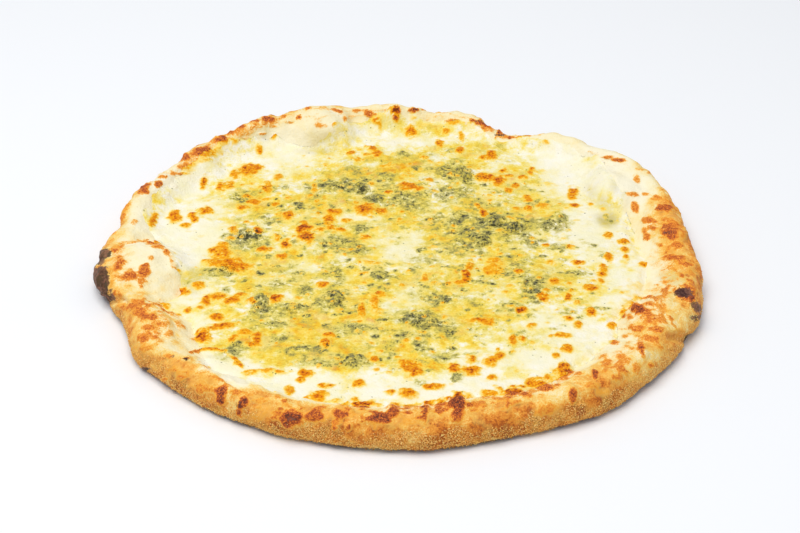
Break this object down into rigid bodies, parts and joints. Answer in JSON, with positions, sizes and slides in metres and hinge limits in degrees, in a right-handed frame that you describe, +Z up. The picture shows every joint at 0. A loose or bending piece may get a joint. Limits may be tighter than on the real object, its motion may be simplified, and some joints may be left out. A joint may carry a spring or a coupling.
{
  "type": "whole cheese pizza",
  "caption": "Whole round cheese pizza, uncut: a baked dough disc with an uneven raised rim, a layer of melted cheese and crumbled lumps of blue cheese.",
  "frame": {"origin": "on the flat underside, below the middle of the outline", "axes": "+Z up out of the cheese; -Y is the side nearest the viewer in the picture and +X is to its right"},
  "size_m": [0.2964, 0.3034, 0.0226],
  "materials": {
    "crust": "baked dough, golden with dark brown spots, semolina grains on the outer side",
    "melted_cheese": "melted cheese, cream to yellow with orange-brown blisters, soft sheen",
    "blue_cheese": "crumbled blue cheese, grey-green mould in a pale curd, soft sheen"
  },
  "bodies": {
    "root": {"crust": "crust", "melted_cheese": "melted_cheese", "blue_cheese_01": "blue_cheese", "blue_cheese_02": "blue_cheese", "blue_cheese_03": "blue_cheese", "blue_cheese_04": "blue_cheese", "blue_cheese_05": "blue_cheese", "blue_cheese_06": "blue_cheese", "blue_cheese_07": "blue_cheese", "blue_cheese_08": "blue_cheese", "blue_cheese_09": "blue_cheese", "blue_cheese_10": "blue_cheese", "blue_cheese_11": "blue_cheese", "blue_cheese_12": "blue_cheese", "blue_cheese_13": "blue_cheese", "blue_cheese_14": "blue_cheese", "blue_cheese_15": "blue_cheese", "blue_cheese_16": "blue_cheese"}
  },
  "joints": []
}
